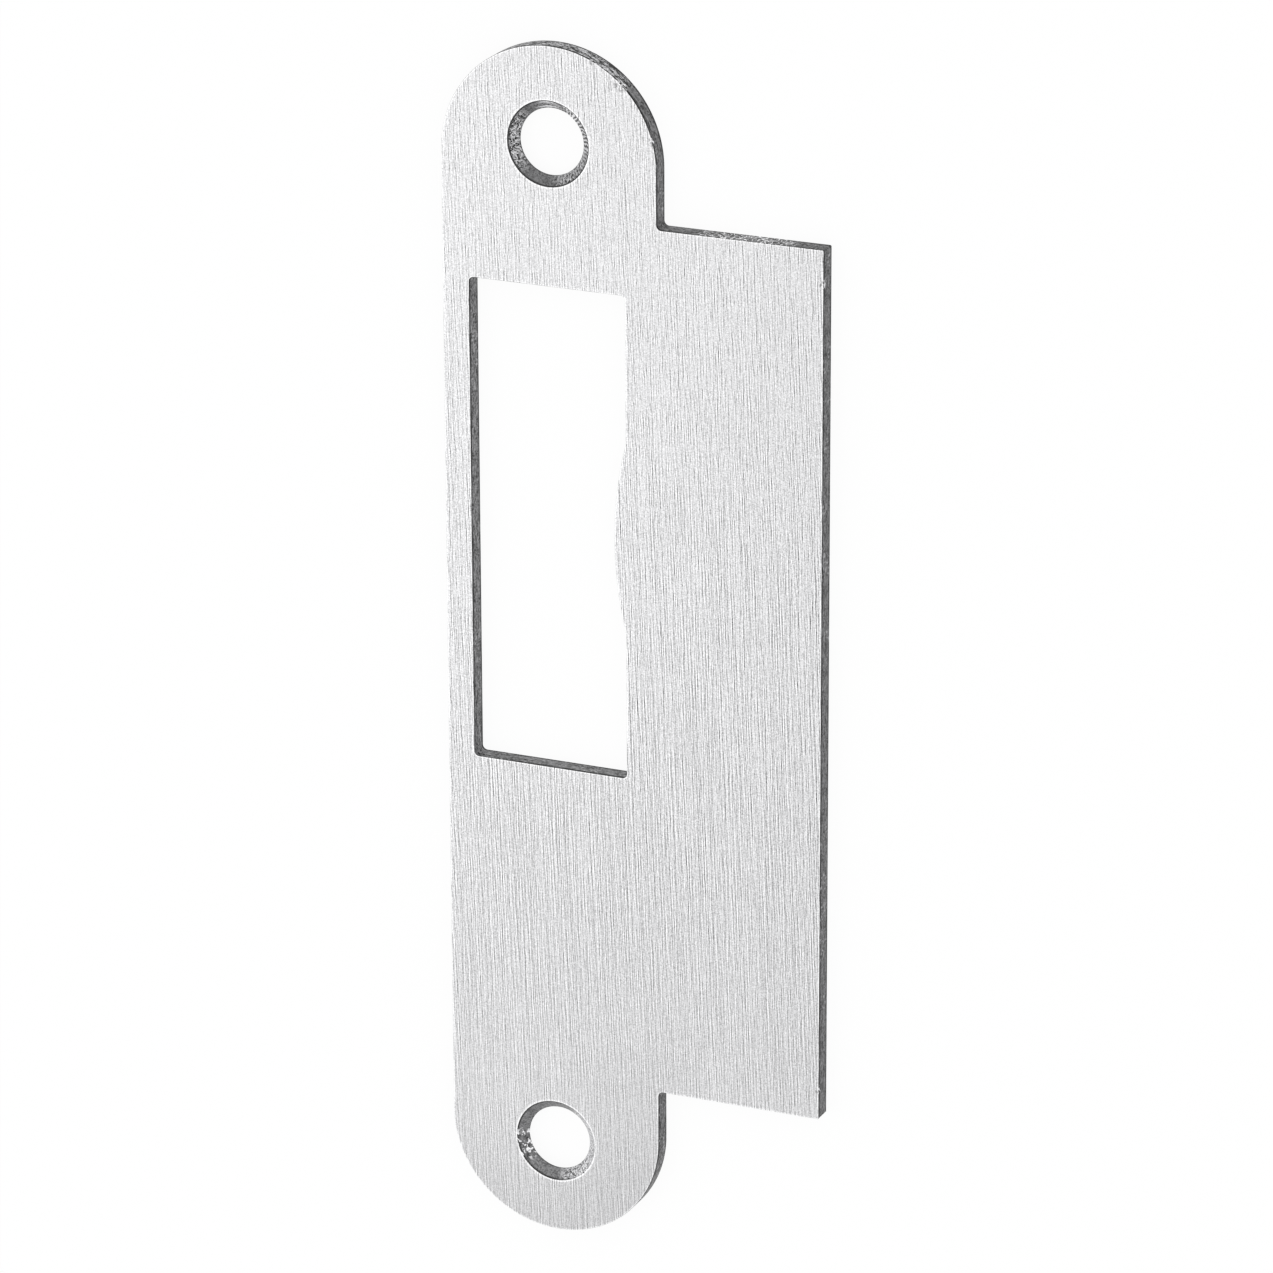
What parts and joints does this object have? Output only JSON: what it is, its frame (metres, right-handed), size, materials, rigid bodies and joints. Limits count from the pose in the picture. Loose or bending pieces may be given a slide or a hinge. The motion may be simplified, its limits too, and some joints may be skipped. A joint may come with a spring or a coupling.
{
  "type": "door strike plate",
  "caption": "Flat metal strike plate for a door latch: a round-ended strip with a rectangular latch opening, countersunk screw holes and a wide flat lip on one side.",
  "frame": {"origin": "on the back face, midway between the two screw holes", "axes": "+X across the plate towards the lip, +Y along the plate, +Z out of the brushed face"},
  "size_m": [0.0388, 0.12, 0.002],
  "materials": {
    "plate": "brushed along the plate's length"
  },
  "bodies": {
    "root": {"strike_plate": "plate"}
  },
  "joints": []
}
